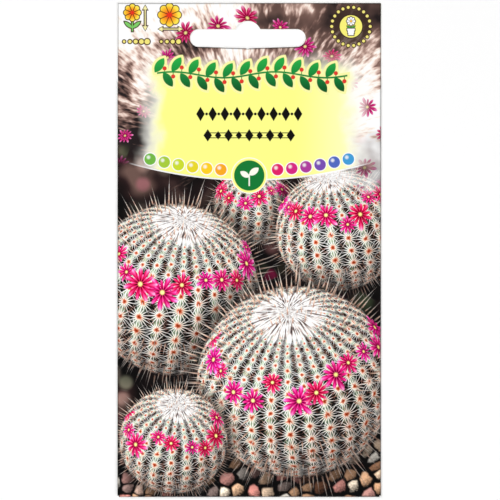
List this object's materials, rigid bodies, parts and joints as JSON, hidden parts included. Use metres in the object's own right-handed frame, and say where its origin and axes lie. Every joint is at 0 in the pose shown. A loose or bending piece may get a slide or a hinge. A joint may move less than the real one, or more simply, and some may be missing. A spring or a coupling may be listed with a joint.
{
  "type": "seed packet",
  "caption": "Flat folded paper seed packet with a euro-style hang slot, a glued header, side seam and bottom flap, and a sealed foil sachet of small seeds inside.",
  "frame": {"origin": "middle of the packet's 80 x 150 mm outline, on the surface that its back lies on", "axes": "+X across the packet to the right as its front is read, +Y up the packet towards the hang slot, +Z out of its printed front"},
  "size_m": [0.08, 0.15, 0.0018],
  "materials": {
    "printed_paper": "coated paper, full-colour print under a gloss varnish outside, plain uncoated white inside",
    "dried_glue": "thin dried white glue",
    "sachet_film": "silver metallised film, heat-sealed rim",
    "seed_coat": "dark brown, finely pitted, semi-matte"
  },
  "bodies": {
    "root": {"envelope": "printed_paper", "side_seam_glue": "dried_glue", "bottom_flap_glue": "dried_glue", "header_glue": "dried_glue", "sachet_back_film": "sachet_film", "sachet_front_film": "sachet_film", "seed_01": "seed_coat", "seed_02": "seed_coat", "seed_03": "seed_coat", "seed_04": "seed_coat", "seed_05": "seed_coat", "seed_06": "seed_coat", "seed_07": "seed_coat", "seed_08": "seed_coat", "seed_09": "seed_coat", "seed_10": "seed_coat", "seed_11": "seed_coat", "seed_12": "seed_coat", "seed_13": "seed_coat", "seed_14": "seed_coat", "seed_15": "seed_coat", "seed_16": "seed_coat"}
  },
  "joints": []
}
